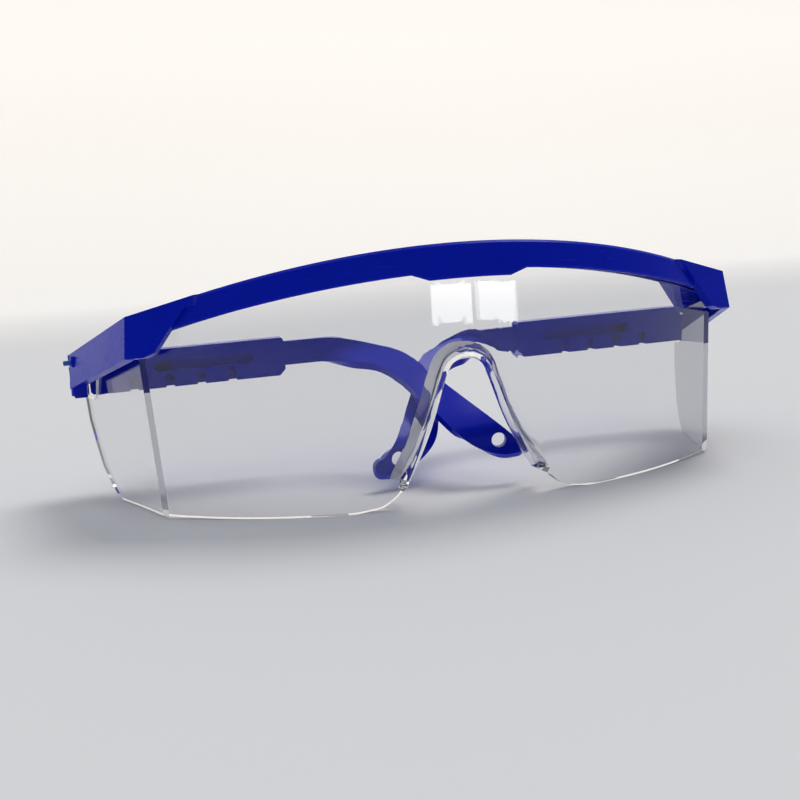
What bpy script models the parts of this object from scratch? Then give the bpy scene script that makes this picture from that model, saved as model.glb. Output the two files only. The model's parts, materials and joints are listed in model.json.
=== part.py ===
"""Safety glasses: one clear wraparound lens under a blue brow bar, with two folding, telescoping arms."""

import math

import bmesh
import bpy
from mathutils import Matrix, Vector

# Sizes are millimetres. y is measured back from the lens's foremost point, z up from the table.
MM = 0.001
ORIGIN_Y = 28.06
LENS_R = 118.0
SHEET = 2.0
GAP = 0.35

BROW_END_X = 61.0
BROW_TOP = 53.0
BROW_DROP = 0.0026

HINGE_X = 77.9
HINGE_Y = 53.6
EAR_R = 2.0
PIN_R = 0.7
PIN_HOLE_R = 1.0
LOWER_EAR = (22.9, 25.4)
UPPER_EAR = (30.0, 32.4)
KNUCKLE = (25.8, 29.6)

SLEEVE_S = (2.4, 47.6)
SLEEVE_N = (-2.6, 1.8)
SLEEVE_Z = (22.9, 31.9)
CHANNEL_N = (-1.7, 0.9)
CHANNEL_Z = (24.6, 31.15)
CHANNEL_START = 11.0
SLOT_S = (17.4, 40.2)
SLOT_H = 2.3
SLOT_Z = 27.8
NOTCH_S = (13.4, 20.6, 27.8, 35.0)
NOTCH_W = 1.9
NOTCH_TOP = 26.0

ARM_START = 21.0
ARM_N = (-1.4, 0.6)
ARM_MID_Z = 28.1
ARM_THICK = 2.0
ARM_TOP = ((48, 30.8), (60, 30.5), (70, 28.1), (76, 25.7), (82, 19.3), (90, 11.1), (98, 3.3))
ARM_BOTTOM = ((48, 25.1), (60, 25.0), (68, 24.2), (72, 21.5), (76, 16.2), (80, 10.6), (84, 7.0), (89, 5.2), (94, 5.4), (100, 6.2))
ARM_TIP_START = 92.6
# Heading of the arm's gentle inward curl, in radians, against the length along it.
ARM_CURL = ((56, 0.0), (64, 0.16), (74, 0.14), (84, 0.12), (94, 0.13), (104, 0.19), (116, 0.2))
# How far the hook leans inward, against height above a line that drops ARM_DROP per length.
ARM_LEAN = ((-12, 44.0), (0, 32.4), (6, 30.8), (12, 21.2), (18, 11.2), (24, 1.0), (30, 1.0))
ARM_DROP = 0.0636
CORD_HOLE = (89.0, 8.2)
CORD_HOLE_R = 1.6
# Fold angle from straight back, and the droop of the folded arm, in degrees, for the two sides.
FOLD = {"left": 88.03, "right": 92.47}
DROOP = {"left": 0.97, "right": -0.97}
SIGN = {"left": 1, "right": -1}


def world(x, y, z):
    return Vector((x, y - ORIGIN_Y, z)) * MM


def clear_scene():
    for obj in list(bpy.data.objects):
        bpy.data.objects.remove(obj, do_unlink=True)


def material(name, colour, roughness, alpha=1.0):
    mat = bpy.data.materials.new(name)
    mat.use_nodes = True
    shader = mat.node_tree.nodes["Principled BSDF"]
    shader.inputs["Base Color"].default_value = (*colour, 1.0)
    shader.inputs["Roughness"].default_value = roughness
    shader.inputs["Alpha"].default_value = alpha
    return mat


def mesh_object(name, points, faces, mat=None):
    mesh = bpy.data.meshes.new(name)
    mesh.from_pydata([tuple(p) for p in points], [], faces)
    mesh.validate()
    bm = bmesh.new()
    bm.from_mesh(mesh)
    bmesh.ops.remove_doubles(bm, verts=bm.verts, dist=1e-6)
    bmesh.ops.recalc_face_normals(bm, faces=bm.faces)
    bm.to_mesh(mesh)
    bm.free()
    obj = bpy.data.objects.new(name, mesh)
    bpy.context.scene.collection.objects.link(obj)
    if mat:
        mesh.materials.append(mat)
    return obj


def set_origin(obj, point):
    obj.data.transform(Matrix.Translation(-point))
    obj.location = point


def helper(obj):
    obj.hide_render = True
    obj.display_type = "WIRE"
    return obj


def boolean(target, tool, operation):
    helper(tool)
    mod = target.modifiers.new(operation + " " + tool.name, "BOOLEAN")
    mod.operation = operation
    mod.solver = "EXACT"
    mod.object = tool


def spline(points, steps):
    """Catmull-Rom curve through the points, with `steps` pieces between each pair."""
    pts = [Vector(p) for p in points]
    pts = [2 * pts[0] - pts[1]] + pts + [2 * pts[-1] - pts[-2]]
    out = []
    for i in range(1, len(pts) - 2):
        p0, p1, p2, p3 = pts[i - 1], pts[i], pts[i + 1], pts[i + 2]
        for k in range(steps):
            t = k / steps
            a = 2 * p1 + (p2 - p0) * t
            b = (2 * p0 - 5 * p1 + 4 * p2 - p3) * t * t
            c = (3 * p1 - p0 - 3 * p2 + p3) * t * t * t
            out.append((a + b + c) / 2)
    out.append(pts[-2])
    return out


def along(table, s):
    """Smooth value of a (length, value) table at length s."""
    keys = [k for k, _ in table]
    if s <= keys[0]:
        return table[0][1]
    if s >= keys[-1]:
        return table[-1][1]
    i = max(j for j in range(len(keys) - 1) if keys[j] <= s)
    slopes = []
    for j in (i, i + 1):
        a, b = max(j - 1, 0), min(j + 1, len(table) - 1)
        slopes.append((table[b][1] - table[a][1]) / (keys[b] - keys[a]))
    h = keys[i + 1] - keys[i]
    t = (s - keys[i]) / h
    v0, v1 = table[i][1], table[i + 1][1]
    ease = 3 * t * t - 2 * t**3
    bend0 = (t**3 - 2 * t * t + t) * h * slopes[0]
    bend1 = (t**3 - t * t) * h * slopes[1]
    return v0 + (v1 - v0) * ease + bend0 + bend1


def on_lens(s, z, back=0.0):
    """Point of the lens's front cylinder at arc length s from the middle, `back` behind it."""
    angle = s / LENS_R
    radius = LENS_R - back
    return world(radius * math.sin(angle), LENS_R - radius * math.cos(angle), z)


def arc_of(x):
    return LENS_R * math.asin(x / LENS_R)


# ---------------------------------------------------------------- lens


def nose_curves():
    """Half of the nose cut-out: the line where the roll starts, and its innermost line."""
    outer = spline(
        [(0, 35.6), (3.5, 34.9), (6.7, 33.0), (9.9, 29.3), (12.8, 21.5), (14.9, 12.0), (16.2, 3.8)], 2
    )
    inner = spline(
        [(0, 29.3), (1.9, 29.0), (3.6, 27.7), (5.1, 24.0), (7.6, 16.8), (10.6, 10.2), (13.7, 5.0)], 2
    )
    return outer, inner


def lens_top(x):
    return 50.1 - BROW_DROP * x * x


def lens_bottom(s):
    if s < 22.6:
        return 0.5 + (22.6 - s) * (22.6 - s) * 0.081
    if s < 27.0:
        return 0.5 * ((27.0 - s) / 4.4) ** 2
    return 0.9 * max(0.0, (s - 35.0) / 31.2) ** 2


def lens_half():
    """Points and faces of the +X half of the lens's front surface."""
    points = []
    faces = []

    def add(point):
        points.append(point)
        return len(points) - 1

    outer, inner = nose_curves()
    tops = [add(on_lens(arc_of(p.x), lens_top(p.x))) for p in outer]
    rolls = [[add(on_lens(arc_of(p.x), p.y)) for p in outer]]
    for turn in (22.5, 45.0, 67.5, 90.0):
        share = math.sin(math.radians(turn))
        depth = 5.0 * (1 - math.cos(math.radians(turn)))
        ring = []
        for o, i in zip(outer, inner):
            p = o.lerp(i, share)
            ring.append(add(on_lens(arc_of(p.x), p.y) + world(0, depth + ORIGIN_Y, 0)))
        rolls.append(ring)
    flange = []
    for o, i in zip(outer, inner):
        p = i + (o - i).normalized() * 1.2
        flange.append(add(on_lens(arc_of(p.x), p.y) + world(0, 8.5 + ORIGIN_Y, 0)))
    rolls.append(flange)
    for k in range(len(outer) - 1):
        faces.append((tops[k], rolls[0][k], rolls[0][k + 1], tops[k + 1]))
        for a, b in zip(rolls, rolls[1:]):
            faces.append((a[k], b[k], b[k + 1], a[k + 1]))
    top, bottom = tops[-1], rolls[0][-1]
    for s in (18.0, 20.3, 22.6, 25, 28, 32, 37, 42, 47, 52, 57, 62, 66.2):
        lean = max(0.0, s - 40.0) / 26.2 * 2.6
        new_top = add(on_lens(s + lean, lens_top(s) if s < 66 else 39.2))
        new_bottom = add(on_lens(s, lens_bottom(s)))
        faces.append((top, bottom, new_bottom, new_top))
        top, bottom = new_top, new_bottom
    faces += side_shield(points, top, bottom)
    return points, faces


def side_shield(points, top, bottom):
    """The flat wall that runs back from the corner line: a plane through it, rising 0.37 across per length."""
    upper = points[top] / MM
    lower = points[bottom] / MM
    outline = [
        (42.0, 31.5), (44.0, 28.8), (45.5, 26.2), (46.6, 23.6), (47.9, 22.3),
        (53.4, 22.3), (53.1, 17.1), (51.0, 11.5), (48.8, 6.7), (45.1, 3.1), (42.5, 1.2), (39.6, 0.3),
        (28.6, 0.7),
    ]
    ring = [top]
    for y, z in outline:
        share = (z - lower.z) / (upper.z - lower.z)
        edge = lower.lerp(upper, share)
        x = edge.x + (y - (edge.y + ORIGIN_Y)) * 0.37
        points.append(world(x, y, z))
        ring.append(len(points) - 1)
    return [tuple(ring + [bottom])]


def make_lens(mat):
    points, faces = lens_half()
    obj = mesh_object("lens", points, faces, mat)
    face_forward(obj)
    mirror = obj.modifiers.new("other half", "MIRROR")
    mirror.use_axis = (True, False, False)
    mirror.merge_threshold = 1e-5
    solid = obj.modifiers.new("wall", "SOLIDIFY")
    solid.thickness = SHEET * MM
    solid.offset = -1.0
    solid.use_even_offset = True
    return obj


# ---------------------------------------------------------------- brow frame


def brow_top(x):
    return BROW_TOP - BROW_DROP * x * x


def brow_bottom(x):
    return 47.4 - 0.0025 * x * x


def nose_bump(x):
    """Extra depth of the front wall over the nose."""
    return 1.45 * min(1.0, max(0.0, (11.9 - abs(x)) / 3.6))


def brow_section(x):
    """Inverted U over the lens edge: (distance behind the lens front, height)."""
    zt = brow_top(x)
    zb = brow_bottom(x)
    zf = zb - nose_bump(x)
    roof = zt - 2.2
    return (
        (0.0, zt), (-0.55, zt - 0.5), (-1.75, zf + 0.4), (-1.4, zf), (-GAP, zf), (-GAP, roof),
        (SHEET + GAP, roof), (SHEET + GAP, zb), (3.8, zb), (3.8, zt - 0.2),
    )


def make_brow_bar(mat):
    xs = {-BROW_END_X + 2 * BROW_END_X * k / 38 for k in range(39)}
    xs |= {-11.9, -8.3, 8.3, 11.9}
    points = []
    faces = []
    count = len(brow_section(0))
    stations = sorted(xs)
    for x in stations:
        for back, z in brow_section(x):
            points.append(on_lens(arc_of(x), z, back))
    for k in range(len(stations) - 1):
        for j in range(count):
            a = k * count + j
            b = k * count + (j + 1) % count
            faces.append((a, b, b + count, a + count))
    faces.append(tuple(range(count)))
    faces.append(tuple(range((len(stations) - 1) * count, len(stations) * count)))
    return mesh_object("brow_frame", points, faces, mat)


def front_facet(x, z):
    """Point of the flat front facet of the left corner cap."""
    return (x, 11.4 + (45.71 * (x - 53.2) + 22.68 * (z - 45.9)) / 108.34, z)


def plate(name, corners, shift, sign):
    """Closed flat plate: a polygon and its copy moved by `shift`, mirrored for the other side."""
    count = len(corners)
    moved = [tuple(a + b for a, b in zip(c, shift)) for c in corners]
    points = [world(sign * x, y, z) for x, y, z in list(corners) + moved]
    faces = []
    for k in range(1, count - 1):
        faces.append((0, k, k + 1))
        faces.append((count, count + k, count + k + 1))
    for k in range(count):
        j = (k + 1) % count
        faces.append((k, j, j + count, k + count))
    return mesh_object(name, points, faces)


def corner_cap(side):
    """Front facet, side wall and roof of one corner, each a 2 mm plate."""
    sign = SIGN[side]
    corner = (66.6, 16.3, 42.3)
    low = front_facet(67.4, 34.0)
    rear_top = (79.4, 52.4, 32.6)
    rear_low = (79.96, 50.5, 24.9)
    outline = ((66.6, 42.3), (53.2, 45.9), (58.4, 39.5), (61.7, 35.0), (63.7, 34.2), (67.4, 34.0))
    front = [front_facet(x, z) for x, z in outline]
    roof = [corner, front[1], (46.0, 13.5, 46.3), (73.8, 50.8, 32.9), rear_top]
    return (
        plate(f"{side}_cap_front", front, (-0.76, 1.80, -0.38), sign),
        plate(f"{side}_cap_wall", [corner, low, rear_low, rear_top], (-1.89, 0.59, -0.28), sign),
        plate(f"{side}_cap_roof", roof, (0.0, 0.0, -2.1), sign),
    )


def cylinder(name, x, y, z0, z1, radius, segments=32):
    points = []
    for z in (z0, z1):
        for k in range(segments):
            a = 2 * math.pi * k / segments
            points.append(world(x + radius * math.cos(a), y + radius * math.sin(a), z))
    faces = [tuple(range(segments)), tuple(range(segments, 2 * segments))]
    for k in range(segments):
        n = (k + 1) % segments
        faces.append((k, n, n + segments, k + segments))
    return mesh_object(name, points, faces)


def block(name, x, y, z, frame=None):
    """Box from ranges of x, y and z. A frame function maps its corners into place."""
    place = frame or world
    points = [place(a, b, c) for a in x for b in y for c in z]
    faces = [(0, 1, 3, 2), (4, 6, 7, 5), (0, 4, 5, 1), (2, 3, 7, 6), (0, 2, 6, 4), (1, 5, 7, 3)]
    return mesh_object(name, points, faces)


def make_brow_frame(mat):
    frame = make_brow_bar(mat)
    for side, sign in SIGN.items():
        for piece in corner_cap(side):
            boolean(frame, piece, "UNION")
        x = sign * HINGE_X
        for level, (z0, z1) in (("lower", LOWER_EAR), ("upper", UPPER_EAR)):
            web_x = sorted((sign * 76.3, sign * 79.0))
            web = block(f"{side}_{level}_web", web_x, (48.6, HINGE_Y - 0.2), (z0, z1))
            ear = cylinder(f"{side}_{level}_ear", x, HINGE_Y, z0, z1, EAR_R)
            boolean(frame, web, "UNION")
            boolean(frame, ear, "UNION")
        root_x = sorted((sign * 76.1, sign * 78.6))
        root = block(f"{side}_lower_root", root_x, (47.6, 50.9), (LOWER_EAR[0] + 0.1, 27.4))
        boolean(frame, root, "UNION")
        relief = cylinder(f"{side}_knuckle_relief", x, HINGE_Y, LOWER_EAR[1], UPPER_EAR[0], 2.45)
        boolean(frame, relief, "DIFFERENCE")
        hole = cylinder(f"{side}_pin_hole", x, HINGE_Y, LOWER_EAR[0] - 1, UPPER_EAR[1] + 1, PIN_HOLE_R)
        boolean(frame, hole, "DIFFERENCE")
    return frame


# ---------------------------------------------------------------- arms


def arm_frame(side):
    """Maps (s along the arm from the hinge axis, n inward, z) to the folded position."""
    sign = SIGN[side]
    fold = math.radians(FOLD[side])
    droop = math.radians(DROOP[side])

    def place(s, n, z):
        length = s * math.cos(droop) + (z - ARM_MID_Z) * math.sin(droop)
        height = ARM_MID_Z - s * math.sin(droop) + (z - ARM_MID_Z) * math.cos(droop)
        x = sign * (HINGE_X - length * math.sin(fold) - n * math.cos(fold))
        y = HINGE_Y + length * math.cos(fold) - n * math.sin(fold)
        return world(x, y, height)

    return place


def make_sleeve(side, mat):
    place = arm_frame(side)
    sleeve = sleeve_body(side, place, mat)
    x = SIGN[side] * HINGE_X
    arm = block(f"{side}_knuckle_arm", (0.3, 4.0), (-1.6, 1.7), KNUCKLE, place)
    boolean(sleeve, arm, "UNION")
    boolean(sleeve, tilted_cylinder(f"{side}_knuckle", place, KNUCKLE, EAR_R), "UNION")
    span = (KNUCKLE[0] - 1, KNUCKLE[1] + 1)
    boolean(sleeve, cylinder(f"{side}_knuckle_hole", x, HINGE_Y, *span, PIN_HOLE_R), "DIFFERENCE")
    channel = block(f"{side}_channel", (CHANNEL_START, 52.0), CHANNEL_N, CHANNEL_Z, place)
    boolean(sleeve, channel, "DIFFERENCE")
    boolean(sleeve, slot_cutter(side, place), "DIFFERENCE")
    for k, s in enumerate(NOTCH_S):
        reach = (s - NOTCH_W / 2, s + NOTCH_W / 2)
        notch = block(f"{side}_notch_{k + 1}", reach, (-1.0, 3.0), (22.0, NOTCH_TOP), place)
        boolean(sleeve, notch, "DIFFERENCE")
    set_origin(sleeve, world(x, HINGE_Y, SLOT_Z))
    return sleeve


def tilted_cylinder(name, place, z, radius, segments=32):
    points = []
    for level in z:
        for k in range(segments):
            a = 2 * math.pi * k / segments
            points.append(place(radius * math.cos(a), radius * math.sin(a), level))
    faces = [tuple(range(segments)), tuple(range(segments, 2 * segments))]
    for k in range(segments):
        n = (k + 1) % segments
        faces.append((k, n, n + segments, k + segments))
    return mesh_object(name, points, faces)


def sleeve_body(side, place, mat):
    """Flat bar whose free end has a cut lower corner and a rounded upper one."""
    s0, s1 = SLEEVE_S
    z0, z1 = SLEEVE_Z
    outline = [(s0, z0 + 0.6), (s0 + 0.6, z0), (s1 - 1.4, z0), (s1, z0 + 1.4)]
    for k in range(5):
        a = math.radians(90 * k / 4)
        outline.append((s1 - 0.7 + 0.7 * math.cos(a), z1 - 0.7 + 0.7 * math.sin(a)))
    outline += [(s0 + 0.6, z1), (s0, z1 - 0.6)]
    return extrude(f"{side}_temple_sleeve", outline, SLEEVE_N, place, mat)


def extrude(name, outline, n, place, mat=None):
    count = len(outline)
    points = [place(s, level, z) for level in n for s, z in outline]
    faces = [tuple(range(count)), tuple(range(count, 2 * count))]
    for k in range(count):
        j = (k + 1) % count
        faces.append((k, j, j + count, k + count))
    return mesh_object(name, points, faces, mat)


def slot_cutter(side, place):
    radius = SLOT_H / 2
    outline = []
    for middle, start in ((SLOT_S[1] - radius, -90), (SLOT_S[0] + radius, 90)):
        for k in range(9):
            a = math.radians(start + 180 * k / 8)
            outline.append((middle + radius * math.cos(a), SLOT_Z + radius * math.sin(a)))
    return extrude(f"{side}_slot", outline, (0.0, 4.0), place)


def arm_centre_line(step):
    """Stations (length, along, inward, heading) of the arm's curling centre line."""
    out = []
    s = ARM_CURL[0][0]
    along_s, inward = s, 0.0
    heading = 0.0
    while s < 116.0:
        out.append((s, along_s, inward, heading))
        s += step
        new = along(ARM_CURL, s)
        mid = (heading + new) / 2
        along_s += step * math.cos(mid)
        inward += step * math.sin(mid)
        heading = new
    return out


def bent(place, line, s, n, z, shift=0.0):
    """Place a point of the flat arm on its curled centre line, shifted inward."""
    if s <= line[0][0]:
        return place(s, n + shift, z)
    step = line[1][0] - line[0][0]
    k = min(int((s - line[0][0]) / step), len(line) - 2)
    t = (s - line[k][0]) / step
    a = line[k][1] + (line[k + 1][1] - line[k][1]) * t
    b = line[k][2] + (line[k + 1][2] - line[k][2]) * t
    h = line[k][3] + (line[k + 1][3] - line[k][3]) * t
    return place(a - n * math.sin(h), b + n * math.cos(h) + shift, z)


def lean(s, z):
    """Inward shift of the hook: none where the arm slides in the sleeve, all of it from 64 mm on."""
    share = min(1.0, max(0.0, (s - 55.2) / 9.0))
    return share * share * (3 - 2 * share) * along(ARM_LEAN, z - ARM_DROP * s)


def arm_rows():
    """(s, low z, high z) along the arm, closed by a rounded tip."""
    stations = [ARM_START, 34.0, 48.0, 55.2]
    stations += [56.0 + 1.5 * k for k in range(25)]
    rows = [(s, along(ARM_BOTTOM, s), along(ARM_TOP, s)) for s in stations if s < ARM_TIP_START]
    low, high = along(ARM_BOTTOM, ARM_TIP_START), along(ARM_TOP, ARM_TIP_START)
    middle, half = (low + high) / 2, (high - low) / 2
    for turn in (0, 25, 45, 62, 76):
        a = math.radians(turn)
        reach = ARM_TIP_START + 1.15 * half * math.sin(a)
        rows.append((reach, middle - half * math.cos(a), middle + half * math.cos(a)))
    return rows


def make_arm(side, mat):
    """Sheet for the inner face, thickened outward, then the cord hole."""
    place = arm_frame(side)
    line = arm_centre_line(1.0)
    across = 8
    points = []
    faces = []
    rows = arm_rows()
    for s, low, high in rows:
        for k in range(across + 1):
            z = low + (high - low) * k / across
            points.append(bent(place, line, s, ARM_N[1], z, lean(s, z)))
    width = across + 1
    for r in range(len(rows) - 1):
        for k in range(across):
            a = r * width + k
            faces.append((a, a + 1, a + 1 + width, a + width))
    arm = mesh_object(f"{side}_temple_arm", points, faces, mat)
    face_forward(arm)
    solid = arm.modifiers.new("thickness", "SOLIDIFY")
    solid.thickness = ARM_THICK * MM
    solid.offset = -1.0
    solid.use_even_offset = True
    boolean(arm, cord_hole(side, place, line), "DIFFERENCE")
    set_origin(arm, place(ARM_START, 0.0, ARM_MID_Z))
    return arm


def face_forward(obj):
    """Turn an open sheet so that its faces look towards the lens."""
    bm = bmesh.new()
    bm.from_mesh(obj.data)
    bmesh.ops.triangulate(bm, faces=bm.faces)
    if sum(f.normal.y * f.calc_area() for f in bm.faces) > 0:
        bmesh.ops.reverse_faces(bm, faces=bm.faces)
    bm.to_mesh(obj.data)
    bm.free()


def cord_hole(side, place, line):
    middle_s, middle_z = CORD_HOLE
    shift = lean(middle_s, middle_z)
    points = []
    for n in (-6.0, 5.0):
        for k in range(24):
            a = 2 * math.pi * k / 24
            s = middle_s + CORD_HOLE_R * math.cos(a)
            z = middle_z + CORD_HOLE_R * math.sin(a)
            points.append(bent(place, line, s, n, z, shift))
    faces = [tuple(range(24)), tuple(range(24, 48))]
    for k in range(24):
        n = (k + 1) % 24
        faces.append((k, n, n + 24, k + 24))
    return mesh_object(f"{side}_cord_hole", points, faces)


def make_pin(side, mat):
    x = SIGN[side] * HINGE_X
    pin = cylinder(f"{side}_hinge_pin", x, HINGE_Y, LOWER_EAR[0], UPPER_EAR[1], PIN_R, 24)
    pin.data.materials.append(mat)
    set_origin(pin, world(x, HINGE_Y, SLOT_Z))
    return pin


def main():
    clear_scene()
    blue = material("blue_plastic", (0.03, 0.08, 0.55), 0.3)
    clear = material("clear_lens", (0.95, 0.97, 1.0), 0.05, 0.35)
    steel = material("pin_steel", (0.6, 0.6, 0.62), 0.3)
    make_brow_frame(blue)
    make_lens(clear)
    for side in SIGN:
        make_sleeve(side, blue)
        make_arm(side, blue)
        make_pin(side, steel)


main()
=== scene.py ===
"""Safety glasses: the looks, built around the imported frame."""

import json
import math

import bmesh
import bpy
from mathutils import Matrix, Vector

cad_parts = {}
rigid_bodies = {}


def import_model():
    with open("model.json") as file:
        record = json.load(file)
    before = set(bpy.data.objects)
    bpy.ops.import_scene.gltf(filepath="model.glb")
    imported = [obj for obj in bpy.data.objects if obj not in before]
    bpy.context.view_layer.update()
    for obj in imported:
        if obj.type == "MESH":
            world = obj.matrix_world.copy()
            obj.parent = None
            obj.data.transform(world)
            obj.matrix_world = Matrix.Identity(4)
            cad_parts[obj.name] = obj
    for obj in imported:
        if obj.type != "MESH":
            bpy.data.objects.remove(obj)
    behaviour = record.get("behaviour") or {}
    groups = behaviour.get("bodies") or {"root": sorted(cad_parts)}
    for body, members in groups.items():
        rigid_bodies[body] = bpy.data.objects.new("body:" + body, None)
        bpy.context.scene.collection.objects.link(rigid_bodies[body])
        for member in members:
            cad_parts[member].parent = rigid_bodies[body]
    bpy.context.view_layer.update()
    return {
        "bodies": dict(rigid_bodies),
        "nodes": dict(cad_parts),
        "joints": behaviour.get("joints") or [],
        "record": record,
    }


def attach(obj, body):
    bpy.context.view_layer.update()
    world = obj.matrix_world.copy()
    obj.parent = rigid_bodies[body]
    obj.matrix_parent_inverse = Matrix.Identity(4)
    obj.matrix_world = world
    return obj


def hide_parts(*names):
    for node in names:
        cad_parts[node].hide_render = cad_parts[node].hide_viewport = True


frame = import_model()

# Sizes are millimetres. y is measured back from the lens's foremost point, z up from the table.
MM = 0.001
ORIGIN_Y = 28.06
LENS_R = 118.0
SHEET = 2.0
GAP = 0.35

BROW_END_X = 61.0
BROW_TOP = 53.0
BROW_DROP = 0.0026

HINGE_X = 77.9
HINGE_Y = 53.6
EAR_R = 2.0
PIN_R = 0.7
PIN_HOLE_R = 1.0
LOWER_EAR = (22.9, 25.4)
UPPER_EAR = (30.0, 32.4)
KNUCKLE = (25.8, 29.6)

SLEEVE_S = (2.4, 47.6)
SLEEVE_N = (-2.6, 1.8)
SLEEVE_Z = (22.9, 31.9)
CHANNEL_N = (-1.7, 0.9)
CHANNEL_Z = (24.6, 31.15)
CHANNEL_START = 11.0
SLOT_S = (17.4, 40.2)
SLOT_H = 2.3
SLOT_Z = 27.8
NOTCH_S = (13.4, 20.6, 27.8, 35.0)
NOTCH_W = 1.9
NOTCH_TOP = 26.0

ARM_START = 21.0
ARM_N = (-1.4, 0.6)
ARM_MID_Z = 28.1
ARM_THICK = 2.0
ARM_TOP = ((48, 30.8), (60, 30.5), (70, 28.1), (76, 25.7), (82, 19.3), (90, 11.1), (98, 3.3))
ARM_BOTTOM = (
    (48, 25.1),
    (60, 25.0),
    (68, 24.2),
    (72, 21.5),
    (76, 16.2),
    (80, 10.6),
    (84, 7.0),
    (89, 5.2),
    (94, 5.4),
    (100, 6.2),
)
ARM_TIP_START = 92.6
# Heading of the arm's gentle inward curl, in radians, against the length along it.
ARM_CURL = ((56, 0.0), (64, 0.16), (74, 0.14), (84, 0.12), (94, 0.13), (104, 0.19), (116, 0.2))
# How far the hook leans inward, against height above a line that drops ARM_DROP per length.
ARM_LEAN = ((-12, 44.0), (0, 32.4), (6, 30.8), (12, 21.2), (18, 11.2), (24, 1.0), (30, 1.0))
ARM_DROP = 0.0636
CORD_HOLE = (89.0, 8.2)
CORD_HOLE_R = 1.6
# Fold angle from straight back, and the droop of the folded arm, in degrees, for the two sides.
FOLD = {"left": 88.03, "right": 92.47}
DROOP = {"left": 0.97, "right": -0.97}
SIGN = {"left": 1, "right": -1}


def world(x, y, z):
    return Vector((x, y - ORIGIN_Y, z)) * MM


def mesh_object(name, points, faces, mat=None):
    mesh = bpy.data.meshes.new(name)
    mesh.from_pydata([tuple(p) for p in points], [], faces)
    mesh.validate()
    bm = bmesh.new()
    bm.from_mesh(mesh)
    bmesh.ops.remove_doubles(bm, verts=bm.verts, dist=1e-6)
    bmesh.ops.recalc_face_normals(bm, faces=bm.faces)
    bm.to_mesh(mesh)
    bm.free()
    obj = bpy.data.objects.new(name, mesh)
    bpy.context.scene.collection.objects.link(obj)
    if mat:
        mesh.materials.append(mat)
    return obj


def helper(obj):
    obj.hide_render = True
    obj.display_type = "WIRE"
    return obj


def boolean(target, tool, operation):
    helper(tool)
    mod = target.modifiers.new(operation + " " + tool.name, "BOOLEAN")
    mod.operation = operation
    mod.solver = "EXACT"
    mod.object = tool


def spline(points, steps):
    """Catmull-Rom curve through the points, with `steps` pieces between each pair."""
    pts = [Vector(p) for p in points]
    pts = [2 * pts[0] - pts[1]] + pts + [2 * pts[-1] - pts[-2]]
    out = []
    for i in range(1, len(pts) - 2):
        p0, p1, p2, p3 = pts[i - 1], pts[i], pts[i + 1], pts[i + 2]
        for k in range(steps):
            t = k / steps
            a = 2 * p1 + (p2 - p0) * t
            b = (2 * p0 - 5 * p1 + 4 * p2 - p3) * t * t
            c = (3 * p1 - p0 - 3 * p2 + p3) * t * t * t
            out.append((a + b + c) / 2)
    out.append(pts[-2])
    return out


def along(table, s):
    """Smooth value of a (length, value) table at length s."""
    keys = [k for k, _ in table]
    if s <= keys[0]:
        return table[0][1]
    if s >= keys[-1]:
        return table[-1][1]
    i = max(j for j in range(len(keys) - 1) if keys[j] <= s)
    slopes = []
    for j in (i, i + 1):
        a, b = max(j - 1, 0), min(j + 1, len(table) - 1)
        slopes.append((table[b][1] - table[a][1]) / (keys[b] - keys[a]))
    h = keys[i + 1] - keys[i]
    t = (s - keys[i]) / h
    v0, v1 = table[i][1], table[i + 1][1]
    ease = 3 * t * t - 2 * t**3
    bend0 = (t**3 - 2 * t * t + t) * h * slopes[0]
    bend1 = (t**3 - t * t) * h * slopes[1]
    return v0 + (v1 - v0) * ease + bend0 + bend1


def on_lens(s, z, back=0.0):
    """Point of the lens's front cylinder at arc length s from the middle, `back` behind it."""
    angle = s / LENS_R
    radius = LENS_R - back
    return world(radius * math.sin(angle), LENS_R - radius * math.cos(angle), z)


def arc_of(x):
    return LENS_R * math.asin(x / LENS_R)


# ---------------------------------------------------------------- lens


def nose_curves():
    """Half of the nose cut-out: the line where the roll starts, and its innermost line."""
    outer = spline(
        [(0, 35.6), (3.5, 34.9), (6.7, 33.0), (9.9, 29.3), (12.8, 21.5), (14.9, 12.0), (16.2, 3.8)], 5
    )
    inner = spline(
        [(0, 29.3), (1.9, 29.0), (3.6, 27.7), (5.1, 24.0), (7.6, 16.8), (10.6, 10.2), (13.7, 5.0)], 5
    )
    return outer, inner


def lens_top(x):
    return 50.1 - BROW_DROP * x * x


def lens_bottom(s):
    if s < 22.6:
        return 0.5 + (22.6 - s) * (22.6 - s) * 0.081
    if s < 27.0:
        return 0.5 * ((27.0 - s) / 4.4) ** 2
    return 0.9 * max(0.0, (s - 35.0) / 31.2) ** 2


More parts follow.
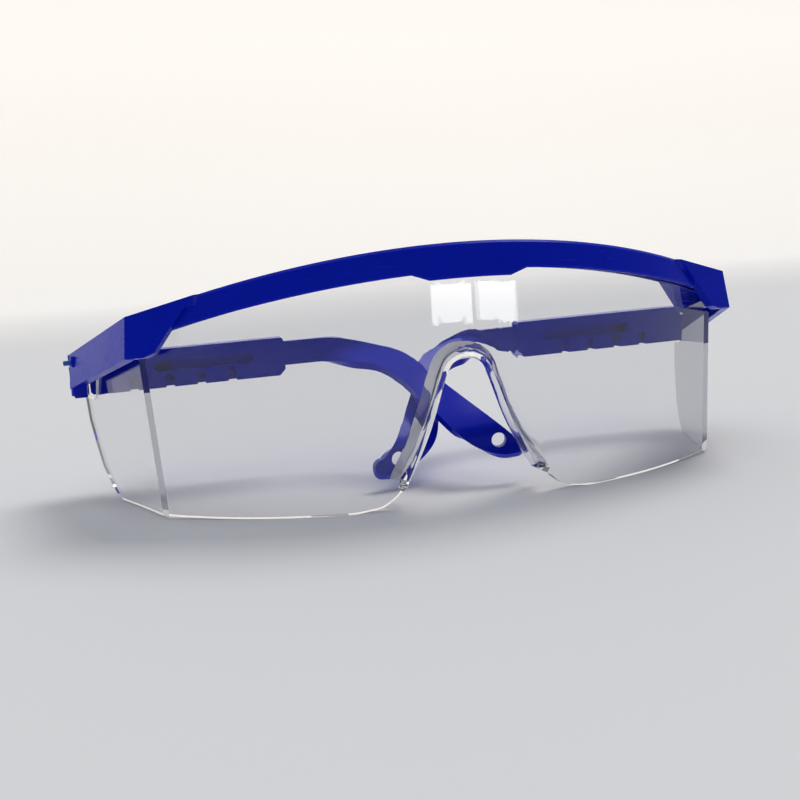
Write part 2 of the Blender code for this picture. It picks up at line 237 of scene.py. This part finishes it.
def lens_half():
    """Points and faces of the +X half of the lens's front surface."""
    points = []
    faces = []

    def add(point):
        points.append(point)
        return len(points) - 1

    outer, inner = nose_curves()
    tops = [add(on_lens(arc_of(p.x), lens_top(p.x))) for p in outer]
    rolls = [[add(on_lens(arc_of(p.x), p.y)) for p in outer]]
    for turn in (9, 18, 27, 36, 45, 54, 63, 72, 81, 90):
        share = math.sin(math.radians(turn))
        depth = 5.0 * (1 - math.cos(math.radians(turn)))
        ring = []
        for o, i in zip(outer, inner):
            p = o.lerp(i, share)
            ring.append(add(on_lens(arc_of(p.x), p.y) + world(0, depth + ORIGIN_Y, 0)))
        rolls.append(ring)
    flange = []
    for o, i in zip(outer, inner):
        p = i + (o - i).normalized() * 1.2
        flange.append(add(on_lens(arc_of(p.x), p.y) + world(0, 8.5 + ORIGIN_Y, 0)))
    rolls.append(flange)
    for k in range(len(outer) - 1):
        faces.append((tops[k], rolls[0][k], rolls[0][k + 1], tops[k + 1]))
        for a, b in zip(rolls, rolls[1:]):
            faces.append((a[k], b[k], b[k + 1], a[k + 1]))
    top, bottom = tops[-1], rolls[0][-1]
    for s in [16.8 + 0.95 * k for k in range(52)] + [66.2]:
        lean = max(0.0, s - 40.0) / 26.2 * 2.6
        new_top = add(on_lens(s + lean, lens_top(s) if s < 66 else 39.2))
        new_bottom = add(on_lens(s, lens_bottom(s)))
        faces.append((top, bottom, new_bottom, new_top))
        top, bottom = new_top, new_bottom
    faces += side_shield(points, top, bottom)
    return points, faces


def side_shield(points, top, bottom):
    """The flat wall that runs back from the corner line.

    It is a plane through that line, rising 0.37 across per length.
    """
    upper = points[top] / MM
    lower = points[bottom] / MM
    outline = [
        (42.0, 31.5), (44.0, 28.8), (45.5, 26.2), (46.6, 23.6), (47.9, 22.3),
        (53.4, 22.3), (53.1, 17.1), (51.0, 11.5), (48.8, 6.7), (45.1, 3.1), (42.5, 1.2), (39.6, 0.3),
        (28.6, 0.7),
    ]
    ring = [top]
    for y, z in outline:
        share = (z - lower.z) / (upper.z - lower.z)
        edge = lower.lerp(upper, share)
        x = edge.x + (y - (edge.y + ORIGIN_Y)) * 0.37
        points.append(world(x, y, z))
        ring.append(len(points) - 1)
    return [tuple(ring + [bottom])]


def make_lens(mat):
    points, faces = lens_half()
    obj = mesh_object("lens_sheet", points, faces, mat)
    face_forward(obj)
    mirror = obj.modifiers.new("other half", "MIRROR")
    mirror.use_axis = (True, False, False)
    mirror.merge_threshold = 1e-5
    solid = obj.modifiers.new("wall", "SOLIDIFY")
    solid.thickness = SHEET * MM
    solid.offset = -1.0
    solid.use_even_offset = True
    return obj


# ---------------------------------------------------------------- brow frame


def brow_top(x):
    return BROW_TOP - BROW_DROP * x * x


def brow_bottom(x):
    return 47.4 - 0.0025 * x * x


def nose_bump(x):
    """Extra depth of the front wall over the nose."""
    return 1.45 * min(1.0, max(0.0, (11.9 - abs(x)) / 3.6))


def brow_section(x):
    """Inverted U over the lens edge: (distance behind the lens front, height)."""
    zt = brow_top(x)
    zb = brow_bottom(x)
    zf = zb - nose_bump(x)
    roof = zt - 2.2
    return (
        (0.0, zt), (-0.55, zt - 0.5), (-1.75, zf + 0.4), (-1.4, zf), (-GAP, zf), (-GAP, roof),
        (SHEET + GAP, roof), (SHEET + GAP, zb), (3.8, zb), (3.8, zt - 0.2),
    )


def make_brow_bar(mat):
    xs = {-BROW_END_X + 2 * BROW_END_X * k / 76 for k in range(77)}
    xs |= {-11.9, -8.3, 8.3, 11.9}
    points = []
    faces = []
    count = len(brow_section(0))
    stations = sorted(xs)
    for x in stations:
        for back, z in brow_section(x):
            points.append(on_lens(arc_of(x), z, back))
    for k in range(len(stations) - 1):
        for j in range(count):
            a = k * count + j
            b = k * count + (j + 1) % count
            faces.append((a, b, b + count, a + count))
    faces.append(tuple(range(count)))
    faces.append(tuple(range((len(stations) - 1) * count, len(stations) * count)))
    return mesh_object("brow_moulding", points, faces, mat)


def front_facet(x, z):
    """Point of the flat front facet of the left corner cap."""
    return (x, 11.4 + (45.71 * (x - 53.2) + 22.68 * (z - 45.9)) / 108.34, z)


def plate(name, corners, shift, sign):
    """Closed flat plate: a polygon and its copy moved by `shift`, mirrored for the other side."""
    count = len(corners)
    moved = [tuple(a + b for a, b in zip(c, shift)) for c in corners]
    points = [world(sign * x, y, z) for x, y, z in list(corners) + moved]
    faces = []
    for k in range(1, count - 1):
        faces.append((0, k, k + 1))
        faces.append((count, count + k, count + k + 1))
    for k in range(count):
        j = (k + 1) % count
        faces.append((k, j, j + count, k + count))
    return mesh_object(name, points, faces)


def corner_cap(side):
    """Front facet, side wall and roof of one corner, each a 2 mm plate."""
    sign = SIGN[side]
    corner = (66.6, 16.3, 42.3)
    low = front_facet(67.4, 34.0)
    rear_top = (79.4, 52.4, 32.6)
    rear_low = (79.96, 50.5, 24.9)
    outline = ((66.6, 42.3), (53.2, 45.9), (58.4, 39.5), (61.7, 35.0), (63.7, 34.2), (67.4, 34.0))
    front = [front_facet(x, z) for x, z in outline]
    roof = [corner, front[1], (46.0, 13.5, 46.3), (73.8, 50.8, 32.9), rear_top]
    return (
        plate(f"{side}_cap_front", front, (-0.76, 1.80, -0.38), sign),
        plate(f"{side}_cap_wall", [corner, low, rear_low, rear_top], (-1.89, 0.59, -0.28), sign),
        plate(f"{side}_cap_roof", roof, (0.0, 0.0, -2.1), sign),
    )


def cylinder(name, x, y, z0, z1, radius, segments=48):
    points = []
    for z in (z0, z1):
        for k in range(segments):
            a = 2 * math.pi * k / segments
            points.append(world(x + radius * math.cos(a), y + radius * math.sin(a), z))
    faces = [tuple(range(segments)), tuple(range(segments, 2 * segments))]
    for k in range(segments):
        n = (k + 1) % segments
        faces.append((k, n, n + segments, k + segments))
    return mesh_object(name, points, faces)


def block(name, x, y, z, frame=None):
    """Box from ranges of x, y and z. A frame function maps its corners into place."""
    place = frame or world
    points = [place(a, b, c) for a in x for b in y for c in z]
    faces = [(0, 1, 3, 2), (4, 6, 7, 5), (0, 4, 5, 1), (2, 3, 7, 6), (0, 2, 6, 4), (1, 5, 7, 3)]
    return mesh_object(name, points, faces)


def make_brow_frame(mat):
    frame = make_brow_bar(mat)
    for side, sign in SIGN.items():
        for piece in corner_cap(side):
            boolean(frame, piece, "UNION")
        x = sign * HINGE_X
        for level, (z0, z1) in (("lower", LOWER_EAR), ("upper", UPPER_EAR)):
            web_x = sorted((sign * 76.3, sign * 79.0))
            web = block(f"{side}_{level}_web", web_x, (48.6, HINGE_Y - 0.2), (z0, z1))
            ear = cylinder(f"{side}_{level}_ear", x, HINGE_Y, z0, z1, EAR_R)
            boolean(frame, web, "UNION")
            boolean(frame, ear, "UNION")
        root_x = sorted((sign * 76.1, sign * 78.6))
        root = block(f"{side}_lower_root", root_x, (47.6, 50.9), (LOWER_EAR[0] + 0.1, 27.4))
        boolean(frame, root, "UNION")
        relief = cylinder(f"{side}_knuckle_relief", x, HINGE_Y, LOWER_EAR[1], UPPER_EAR[0], 2.45)
        boolean(frame, relief, "DIFFERENCE")
        hole = cylinder(f"{side}_pin_hole", x, HINGE_Y, LOWER_EAR[0] - 1, UPPER_EAR[1] + 1, PIN_HOLE_R)
        boolean(frame, hole, "DIFFERENCE")
    return frame


# ---------------------------------------------------------------- arms


def arm_frame(side):
    """Maps (s along the arm from the hinge axis, n inward, z) to the folded position."""
    sign = SIGN[side]
    fold = math.radians(FOLD[side])
    droop = math.radians(DROOP[side])

    def place(s, n, z):
        length = s * math.cos(droop) + (z - ARM_MID_Z) * math.sin(droop)
        height = ARM_MID_Z - s * math.sin(droop) + (z - ARM_MID_Z) * math.cos(droop)
        x = sign * (HINGE_X - length * math.sin(fold) - n * math.cos(fold))
        y = HINGE_Y + length * math.cos(fold) - n * math.sin(fold)
        return world(x, y, height)

    return place


def make_sleeve(side, mat):
    place = arm_frame(side)
    sleeve = sleeve_body(side, place, mat)
    x = SIGN[side] * HINGE_X
    arm = block(f"{side}_knuckle_arm", (0.3, 4.0), (-1.6, 1.7), KNUCKLE, place)
    boolean(sleeve, arm, "UNION")
    boolean(sleeve, tilted_cylinder(f"{side}_knuckle", place, KNUCKLE, EAR_R), "UNION")
    span = (KNUCKLE[0] - 1, KNUCKLE[1] + 1)
    boolean(sleeve, cylinder(f"{side}_knuckle_hole", x, HINGE_Y, *span, PIN_HOLE_R), "DIFFERENCE")
    channel = block(f"{side}_channel", (CHANNEL_START, 52.0), CHANNEL_N, CHANNEL_Z, place)
    boolean(sleeve, channel, "DIFFERENCE")
    boolean(sleeve, slot_cutter(side, place), "DIFFERENCE")
    for k, s in enumerate(NOTCH_S):
        reach = (s - NOTCH_W / 2, s + NOTCH_W / 2)
        notch = block(f"{side}_notch_{k + 1}", reach, (-1.0, 3.0), (22.0, NOTCH_TOP), place)
        boolean(sleeve, notch, "DIFFERENCE")
    return sleeve


def tilted_cylinder(name, place, z, radius, segments=48):
    points = []
    for level in z:
        for k in range(segments):
            a = 2 * math.pi * k / segments
            points.append(place(radius * math.cos(a), radius * math.sin(a), level))
    faces = [tuple(range(segments)), tuple(range(segments, 2 * segments))]
    for k in range(segments):
        n = (k + 1) % segments
        faces.append((k, n, n + segments, k + segments))
    return mesh_object(name, points, faces)


def sleeve_body(side, place, mat):
    """Flat bar whose free end has a cut lower corner and a rounded upper one."""
    s0, s1 = SLEEVE_S
    z0, z1 = SLEEVE_Z
    outline = [(s0, z0 + 0.6), (s0 + 0.6, z0), (s1 - 1.4, z0), (s1, z0 + 1.4)]
    for k in range(5):
        a = math.radians(90 * k / 4)
        outline.append((s1 - 0.7 + 0.7 * math.cos(a), z1 - 0.7 + 0.7 * math.sin(a)))
    outline += [(s0 + 0.6, z1), (s0, z1 - 0.6)]
    return extrude(f"{side}_sleeve_shell", outline, SLEEVE_N, place, mat)


def extrude(name, outline, n, place, mat=None):
    count = len(outline)
    points = [place(s, level, z) for level in n for s, z in outline]
    faces = [tuple(range(count)), tuple(range(count, 2 * count))]
    for k in range(count):
        j = (k + 1) % count
        faces.append((k, j, j + count, k + count))
    return mesh_object(name, points, faces, mat)


def slot_cutter(side, place):
    radius = SLOT_H / 2
    outline = []
    for middle, start in ((SLOT_S[1] - radius, -90), (SLOT_S[0] + radius, 90)):
        for k in range(9):
            a = math.radians(start + 180 * k / 8)
            outline.append((middle + radius * math.cos(a), SLOT_Z + radius * math.sin(a)))
    return extrude(f"{side}_slot", outline, (0.0, 4.0), place)


def arm_centre_line(step):
    """Stations (length, along, inward, heading) of the arm's curling centre line."""
    out = []
    s = ARM_CURL[0][0]
    along_s, inward = s, 0.0
    heading = 0.0
    while s < 116.0:
        out.append((s, along_s, inward, heading))
        s += step
        new = along(ARM_CURL, s)
        mid = (heading + new) / 2
        along_s += step * math.cos(mid)
        inward += step * math.sin(mid)
        heading = new
    return out


def bent(place, line, s, n, z, shift=0.0):
    """Place a point of the flat arm on its curled centre line, shifted inward."""
    if s <= line[0][0]:
        return place(s, n + shift, z)
    step = line[1][0] - line[0][0]
    k = min(int((s - line[0][0]) / step), len(line) - 2)
    t = (s - line[k][0]) / step
    a = line[k][1] + (line[k + 1][1] - line[k][1]) * t
    b = line[k][2] + (line[k + 1][2] - line[k][2]) * t
    h = line[k][3] + (line[k + 1][3] - line[k][3]) * t
    return place(a - n * math.sin(h), b + n * math.cos(h) + shift, z)


def lean(s, z):
    """Inward shift of the hook: none where the arm slides in the sleeve, all of it from 64 mm on."""
    share = min(1.0, max(0.0, (s - 55.2) / 9.0))
    return share * share * (3 - 2 * share) * along(ARM_LEAN, z - ARM_DROP * s)


def arm_rows():
    """(s, low z, high z) along the arm, closed by a rounded tip."""
    stations = [ARM_START, 34.0, 48.0, 55.2]
    stations += [56.0 + 0.75 * k for k in range(49)]
    rows = [(s, along(ARM_BOTTOM, s), along(ARM_TOP, s)) for s in stations if s < ARM_TIP_START]
    low, high = along(ARM_BOTTOM, ARM_TIP_START), along(ARM_TOP, ARM_TIP_START)
    middle, half = (low + high) / 2, (high - low) / 2
    for turn in (0, 12, 24, 36, 47, 57, 66, 74, 81):
        a = math.radians(turn)
        reach = ARM_TIP_START + 1.15 * half * math.sin(a)
        rows.append((reach, middle - half * math.cos(a), middle + half * math.cos(a)))
    return rows


def make_arm(side, mat):
    """Sheet for the inner face, thickened outward, then the cord hole."""
    place = arm_frame(side)
    line = arm_centre_line(1.0)
    across = 8
    points = []
    faces = []
    rows = arm_rows()
    for s, low, high in rows:
        for k in range(across + 1):
            z = low + (high - low) * k / across
            points.append(bent(place, line, s, ARM_N[1], z, lean(s, z)))
    width = across + 1
    for r in range(len(rows) - 1):
        for k in range(across):
            a = r * width + k
            faces.append((a, a + 1, a + 1 + width, a + width))
    arm = mesh_object(f"{side}_arm_bar", points, faces, mat)
    face_forward(arm)
    solid = arm.modifiers.new("thickness", "SOLIDIFY")
    solid.thickness = ARM_THICK * MM
    solid.offset = -1.0
    solid.use_even_offset = True
    boolean(arm, cord_hole(side, place, line), "DIFFERENCE")
    return arm


def face_forward(obj):
    """Turn an open sheet so that its faces look towards the lens."""
    bm = bmesh.new()
    bm.from_mesh(obj.data)
    bmesh.ops.triangulate(bm, faces=bm.faces)
    if sum(f.normal.y * f.calc_area() for f in bm.faces) > 0:
        bmesh.ops.reverse_faces(bm, faces=bm.faces)
    bm.to_mesh(obj.data)
    bm.free()


def cord_hole(side, place, line):
    middle_s, middle_z = CORD_HOLE
    shift = lean(middle_s, middle_z)
    points = []
    for n in (-6.0, 5.0):
        for k in range(24):
            a = 2 * math.pi * k / 24
            s = middle_s + CORD_HOLE_R * math.cos(a)
            z = middle_z + CORD_HOLE_R * math.sin(a)
            points.append(bent(place, line, s, n, z, shift))
    faces = [tuple(range(24)), tuple(range(24, 48))]
    for k in range(24):
        n = (k + 1) % 24
        faces.append((k, n, n + 24, k + 24))
    return mesh_object(f"{side}_cord_hole", points, faces)


def make_pin(side):
    x = SIGN[side] * HINGE_X
    pin = cylinder(f"{side}_pin", x, HINGE_Y, LOWER_EAR[0], UPPER_EAR[1], PIN_R, 24)
    return pin


# ---------------------------------------------------------------- finishing


def solid_mesh(obj):
    """Apply the modifiers and throw the cutters away."""
    graph = bpy.context.evaluated_depsgraph_get()
    graph.update()
    mesh = bpy.data.meshes.new_from_object(obj.evaluated_get(graph))
    tools = [m.object for m in obj.modifiers if m.type == "BOOLEAN"]
    obj.modifiers.clear()
    obj.data = mesh
    for tool in tools:
        bpy.data.objects.remove(tool, do_unlink=True)
    return obj


def soften(obj, width, angle=32.0, segments=3):
    """Rounded edges where two faces meet at more than `angle`, then smooth shading."""
    bm = bmesh.new()
    bm.from_mesh(obj.data)
    bmesh.ops.remove_doubles(bm, verts=bm.verts, dist=2e-6)
    bmesh.ops.dissolve_limit(bm, angle_limit=math.radians(0.4), verts=bm.verts, edges=bm.edges)
    bm.to_mesh(obj.data)
    bm.free()
    if width:
        mod = obj.modifiers.new("edge rounding", "BEVEL")
        mod.width = width * MM
        mod.segments = segments
        mod.limit_method = "ANGLE"
        mod.angle_limit = math.radians(angle)
        mod.use_clamp_overlap = True
        mod.harden_normals = False
        solid_mesh(obj)
    obj.data.polygons.foreach_set("use_smooth", [True] * len(obj.data.polygons))
    obj.data.set_sharp_from_angle(angle=math.radians(34))
    even = obj.modifiers.new("even shading", "WEIGHTED_NORMAL")
    even.mode = "FACE_AREA"
    even.keep_sharp = True
    solid_mesh(obj)


# ---------------------------------------------------------------- materials

BLUE_DARK = (0.0018, 0.0120, 0.50)
BLUE_LIGHT = (0.0030, 0.0180, 0.62)
# Paler blue of the gate stub: a painted highlight.
STUB_HIGHLIGHT_DARK = (0.05, 0.14, 0.50)
STUB_HIGHLIGHT_LIGHT = (0.08, 0.20, 0.60)
TINT_DARK = (0.87, 0.875, 0.895)
TINT_LIGHT = (0.89, 0.895, 0.91)
LAMP_TINT = (0.58, 0.58, 0.61)
STEEL_DARK = (0.45, 0.46, 0.48)
STEEL_LIGHT = (0.62, 0.62, 0.63)
FLOOR_DARK = (0.84, 0.845, 0.85)
FLOOR_LIGHT = (0.87, 0.87, 0.875)
# Colour of the painted light that the floor emits toward the back.
FLOOR_PAINTED_LIGHT = (1.0, 0.92, 0.80)
# After this many bounces the lens lets light straight through.
LENS_BOUNCES = 2.5


def shader_of(name):
    mat = bpy.data.materials.new(name)
    mat.use_nodes = True
    nodes = mat.node_tree.nodes
    return mat, nodes, mat.node_tree.links, nodes["Principled BSDF"]


def noise(nodes, links, coords, scale, detail=4.0, roughness=0.55):
    tex = nodes.new("ShaderNodeTexNoise")
    tex.inputs["Scale"].default_value = scale
    tex.inputs["Detail"].default_value = detail
    tex.inputs["Roughness"].default_value = roughness
    links.new(coords, tex.inputs["Vector"])
    return tex.outputs["Fac"]


def ramp(nodes, links, value, low, high, start=0.35, end=0.65):
    node = nodes.new("ShaderNodeMapRange")
    node.inputs["From Min"].default_value = start
    node.inputs["From Max"].default_value = end
    node.inputs["To Min"].default_value = low
    node.inputs["To Max"].default_value = high
    links.new(value, node.inputs["Value"])
    return node.outputs["Result"]


def two_tone(nodes, links, value, dark, light):
    mix = nodes.new("ShaderNodeMix")
    mix.data_type = "RGBA"
    mix.inputs["A"].default_value = (*dark, 1.0)
    mix.inputs["B"].default_value = (*light, 1.0)
    links.new(value, mix.inputs["Factor"])
    return mix.outputs["Result"]


def bump(nodes, links, height, shader, strength, distance):
    node = nodes.new("ShaderNodeBump")
    node.inputs["Strength"].default_value = strength
    node.inputs["Distance"].default_value = distance
    links.new(height, node.inputs["Height"])
    links.new(node.outputs["Normal"], shader.inputs["Normal"])


def blue_plastic(name, dark, light):
    """Gloss-moulded plastic: faint cloudiness, a fine skin and a few rubbed streaks."""
    mat, nodes, links, shader = shader_of(name)
    coords = nodes.new("ShaderNodeTexCoord").outputs["Object"]
    cloud = noise(nodes, links, coords, 60.0)
    grain = noise(nodes, links, coords, 900.0, 2.0)
    stretch = nodes.new("ShaderNodeMapping")
    stretch.inputs["Scale"].default_value = (120.0, 900.0, 1500.0)
    links.new(coords, stretch.inputs["Vector"])
    streaks = noise(nodes, links, stretch.outputs["Vector"], 1.0, 3.0)
    links.new(two_tone(nodes, links, cloud, dark, light), shader.inputs["Base Color"])
    rubbed = ramp(nodes, links, streaks, 0.0, 0.16, 0.60, 0.72)
    skin = ramp(nodes, links, cloud, 0.16, 0.26)
    total = nodes.new("ShaderNodeMath")
    links.new(rubbed, total.inputs[0])
    links.new(skin, total.inputs[1])
    links.new(total.outputs["Value"], shader.inputs["Roughness"])
    bump(nodes, links, grain, shader, 0.05, 0.00003)
    shader.inputs["IOR"].default_value = 1.37
    shader.inputs["Specular IOR Level"].default_value = 0.15
    return mat


def clear_sheet():
    """Clear polycarbonate that bends light.

    Lamps and scattered light pass straight through it with a fixed loss, and so does any light that
    has already bounced LENS_BOUNCES times, which keeps trapped paths from turning black.
    """
    mat, nodes, links, shader = shader_of("clear polycarbonate")
    coords = nodes.new("ShaderNodeTexCoord").outputs["Object"]
    haze = noise(nodes, links, coords, 30.0)
    tint = two_tone(nodes, links, haze, TINT_DARK, TINT_LIGHT)
    links.new(tint, shader.inputs["Base Color"])
    links.new(ramp(nodes, links, haze, 0.0, 0.012), shader.inputs["Roughness"])
    shader.inputs["IOR"].default_value = 1.42
    shader.inputs["Transmission Weight"].default_value = 1.0
    bump(nodes, links, noise(nodes, links, coords, 22.0, 1.0), shader, 0.03, 0.0004)
    see = nodes.new("ShaderNodeBsdfTransparent")
    see.inputs["Color"].default_value = (*LAMP_TINT, 1.0)
    rays = nodes.new("ShaderNodeLightPath")
    either = nodes.new("ShaderNodeMath")
    either.operation = "MAXIMUM"
    links.new(rays.outputs["Is Shadow Ray"], either.inputs[0])
    links.new(rays.outputs["Is Diffuse Ray"], either.inputs[1])
    deep = nodes.new("ShaderNodeMath")
    deep.operation = "GREATER_THAN"
    deep.inputs[1].default_value = LENS_BOUNCES
    links.new(rays.outputs["Ray Depth"], deep.inputs[0])
    fac = nodes.new("ShaderNodeMath")
    fac.operation = "MAXIMUM"
    links.new(either.outputs["Value"], fac.inputs[0])
    links.new(deep.outputs["Value"], fac.inputs[1])
    mix = nodes.new("ShaderNodeMixShader")
    links.new(fac.outputs["Value"], mix.inputs["Fac"])
    links.new(shader.outputs["BSDF"], mix.inputs[1])
    links.new(see.outputs["BSDF"], mix.inputs[2])
    out = [n for n in nodes if n.type == "OUTPUT_MATERIAL"][0]
    links.new(mix.outputs["Shader"], out.inputs["Surface"])
    return mat


def pin_steel():
    mat, nodes, links, shader = shader_of("bright steel pin")
    coords = nodes.new("ShaderNodeTexCoord").outputs["Object"]
    scratch = noise(nodes, links, coords, 900.0)
    colour = two_tone(nodes, links, scratch, STEEL_DARK, STEEL_LIGHT)
    links.new(colour, shader.inputs["Base Color"])
    links.new(ramp(nodes, links, scratch, 0.22, 0.4), shader.inputs["Roughness"])
    shader.inputs["Metallic"].default_value = 1.0
    bump(nodes, links, scratch, shader, 0.1, 0.00003)
    return mat


def show(obj, mat, body, node=None):
    obj.data.materials.clear()
    obj.data.materials.append(mat)
    obj.hide_render = False
    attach(obj, body)
    if node:
        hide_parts(node)


def gate_stub(mat):
    """Short stub of moulding sprue at the rear of the right cap."""
    stub = block("right_gate_stub", (-80.9, -78.9), (51.0, 52.1), (30.2, 31.3))
    soften(stub, 0.2)
    show(stub, mat, "frame")


def make_glasses():
    blue = blue_plastic("blue gloss plastic", BLUE_DARK, BLUE_LIGHT)
    clear = clear_sheet()
    steel = pin_steel()
    lens = solid_mesh(make_lens(None))
    soften(lens, 0.35)
    show(lens, clear, "frame", "lens")
    brow = solid_mesh(make_brow_frame(None))
    soften(brow, 0.3)
    show(brow, blue, "frame", "brow_frame")
    for side in SIGN:
        sleeve = solid_mesh(make_sleeve(side, None))
        soften(sleeve, 0.22)
        show(sleeve, blue, f"{side}_sleeve", f"{side}_temple_sleeve")
        arm = solid_mesh(make_arm(side, None))
        soften(arm, 0.45)
        show(arm, blue, f"{side}_arm", f"{side}_temple_arm")
        pin = make_pin(side)
        soften(pin, 0.15)
        show(pin, steel, "frame", f"{side}_hinge_pin")


# ---------------------------------------------------------------- stage

# Stage and lamp sizes are metres, lamp powers watts.
FLOOR_WIDTH = 5.2
FLOOR_FRONT = -1.6
FLOOR_BACK = 0.9
CURVE_R = 0.6
CURVE_STEPS = 12
WALL_TOP = 0.72
KEY_DIRECTION = (-0.38, -0.32, -0.87)
KEY_STRENGTH = 1.2
KEY_SPREAD = 28
PANE_SIZE = (0.060, 0.020)
PANE_POWER = 0.022
# Height of the two window lamps, and the point of the lens that they face.
PANE_Z = 0.019
PANE_AIM = (0.001, -0.028, 0.040)
CAMERA_AT = (-67.53, -200.15, 55.26)
CAMERA_TURN = 14.53
CAMERA_TILT = 8.92
CAMERA_ROLL = 3.55
CAMERA_LENS = 47.64


def pale_floor():
    """Matt floor with painted shade, a little darker well in front, and painted light glowing faintly
    toward the back.
    """
    mat, nodes, links, shader = shader_of("pale floor")
    coords = nodes.new("ShaderNodeTexCoord").outputs["Object"]
    cloud = noise(nodes, links, coords, 3.0)
    pale = two_tone(nodes, links, cloud, FLOOR_DARK, FLOOR_LIGHT)
    shader.inputs["Roughness"].default_value = 0.7
    shader.inputs["Specular IOR Level"].default_value = 0.12
    split = nodes.new("ShaderNodeSeparateXYZ")
    links.new(coords, split.inputs["Vector"])
    far = nodes.new("ShaderNodeMath")
    links.new(split.outputs["Y"], far.inputs[0])
    links.new(split.outputs["Z"], far.inputs[1])
    # Painted shade: the floor's colour is darkened well in front.
    front = ramp(nodes, links, split.outputs["Y"], 0.72, 1.0, -0.45, -0.17)
    shade = nodes.new("ShaderNodeVectorMath")
    shade.operation = "SCALE"
    links.new(pale, shade.inputs[0])
    links.new(front, shade.inputs["Scale"])
    links.new(shade.outputs["Vector"], shader.inputs["Base Color"])
    # Painted light: the floor glows, more toward the back and up the curve.
    shader.inputs["Emission Color"].default_value = (*FLOOR_PAINTED_LIGHT, 1.0)
    glow = ramp(nodes, links, far.outputs["Value"], 0.0, 0.64, 0.45, 1.8)
    links.new(glow, shader.inputs["Emission Strength"])
    return mat


def cyclorama():
    """Floor that curves up into a back wall."""
    profile = [(FLOOR_FRONT, 0.0), (FLOOR_BACK, 0.0)]
    for k in range(1, CURVE_STEPS + 1):
        a = math.radians(90 * k / CURVE_STEPS)
        profile.append((FLOOR_BACK + CURVE_R * math.sin(a), CURVE_R * (1 - math.cos(a))))
    profile.append((FLOOR_BACK + CURVE_R, WALL_TOP))
    sides = (-FLOOR_WIDTH / 2, FLOOR_WIDTH / 2)
    points = [Vector((x, y, z)) for x in sides for y, z in profile]
    count = len(profile)
    faces = [(k, k + 1, k + 1 + count, k + count) for k in range(count - 1)]
    obj = mesh_object("studio_floor", points, faces)
    obj.data.polygons.foreach_set("use_smooth", [True] * len(obj.data.polygons))
    obj.data.materials.append(pale_floor())
    obj.visible_shadow = False


def area(name, place, aim, size, power, colour=(1.0, 1.0, 1.0)):
    data = bpy.data.lights.new(name, "AREA")
    data.shape = "RECTANGLE"
    data.color = colour
    data.size, data.size_y = size
    data.energy = power
    obj = bpy.data.objects.new(name, data)
    bpy.context.scene.collection.objects.link(obj)
    obj.location = place
    obj.rotation_euler = (Vector(aim) - Vector(place)).to_track_quat("-Z", "Y").to_euler()
    return obj


def key_light():
    """Soft light from high up, behind and to the right."""
    sun = bpy.data.lights.new("soft key from behind", "SUN")
    sun.energy = KEY_STRENGTH
    sun.angle = math.radians(KEY_SPREAD)
    sun.color = (1.0, 0.97, 0.93)
    key = bpy.data.objects.new("soft key from behind", sun)
    bpy.context.scene.collection.objects.link(key)
    key.rotation_euler = Vector(KEY_DIRECTION).to_track_quat("-Z", "Y").to_euler()


def sky():
    """Cool surroundings, dimmer in front of the glasses than behind them."""
    world = bpy.data.worlds.new("studio")
    world.use_nodes = True
    nodes = world.node_tree.nodes
    links = world.node_tree.links
    background = nodes["Background"]
    background.inputs["Color"].default_value = (0.86, 0.91, 1.0, 1.0)
    split = nodes.new("ShaderNodeSeparateXYZ")
    coords = nodes.new("ShaderNodeTexCoord")
    links.new(coords.outputs["Generated"], split.inputs["Vector"])
    glow = ramp(nodes, links, split.outputs["Y"], 0.20, 0.50, -0.7, 0.5)
    links.new(glow, background.inputs["Strength"])
    bpy.context.scene.world = world


def lights():
    key_light()
    area("wall wash", (0.5, 0.35, 1.2), (0.4, 1.4, 0.3), (2.2, 0.5), 1.2, (1.0, 0.94, 0.86))
    area("overhead", (-0.1, -0.15, 0.95), (0, 0, 0.02), (0.6, 0.6), 0.8, (0.95, 0.97, 1.0))
    for name, x, y in (("window left", 0.069, -0.3175), ("window right", 0.137, -0.2985)):
        pane = area(name, (x, y, PANE_Z), PANE_AIM, PANE_SIZE, PANE_POWER)
        pane.visible_diffuse = False
    sky()
    bpy.context.scene.view_settings.view_transform = "Standard"


def camera():
    turn = math.radians(CAMERA_TURN)
    tilt = math.radians(CAMERA_TILT)
    roll = math.radians(CAMERA_ROLL)
    forward = Vector((math.sin(turn) * math.cos(tilt), math.cos(turn) * math.cos(tilt), -math.sin(tilt)))
    across = Vector((math.cos(turn), -math.sin(turn), 0.0))
    up = across.cross(forward)
    right = math.cos(roll) * across - math.sin(roll) * up
    top = math.sin(roll) * across + math.cos(roll) * up
    data = bpy.data.cameras.new("camera")
    data.lens = CAMERA_LENS
    data.sensor_width = 36.0
    data.clip_start = 0.01
    obj = bpy.data.objects.new("camera", data)
    bpy.context.scene.collection.objects.link(obj)
    turn3 = Matrix((right, top, -forward)).transposed().to_4x4()
    obj.matrix_world = Matrix.Translation(world(*CAMERA_AT)) @ turn3
    bpy.context.scene.camera = obj


make_glasses()
# The gate stub's paler blue is a painted highlight.
gate_stub(blue_plastic("gate stub painted highlight", STUB_HIGHLIGHT_DARK, STUB_HIGHLIGHT_LIGHT))
cyclorama()
lights()
camera()
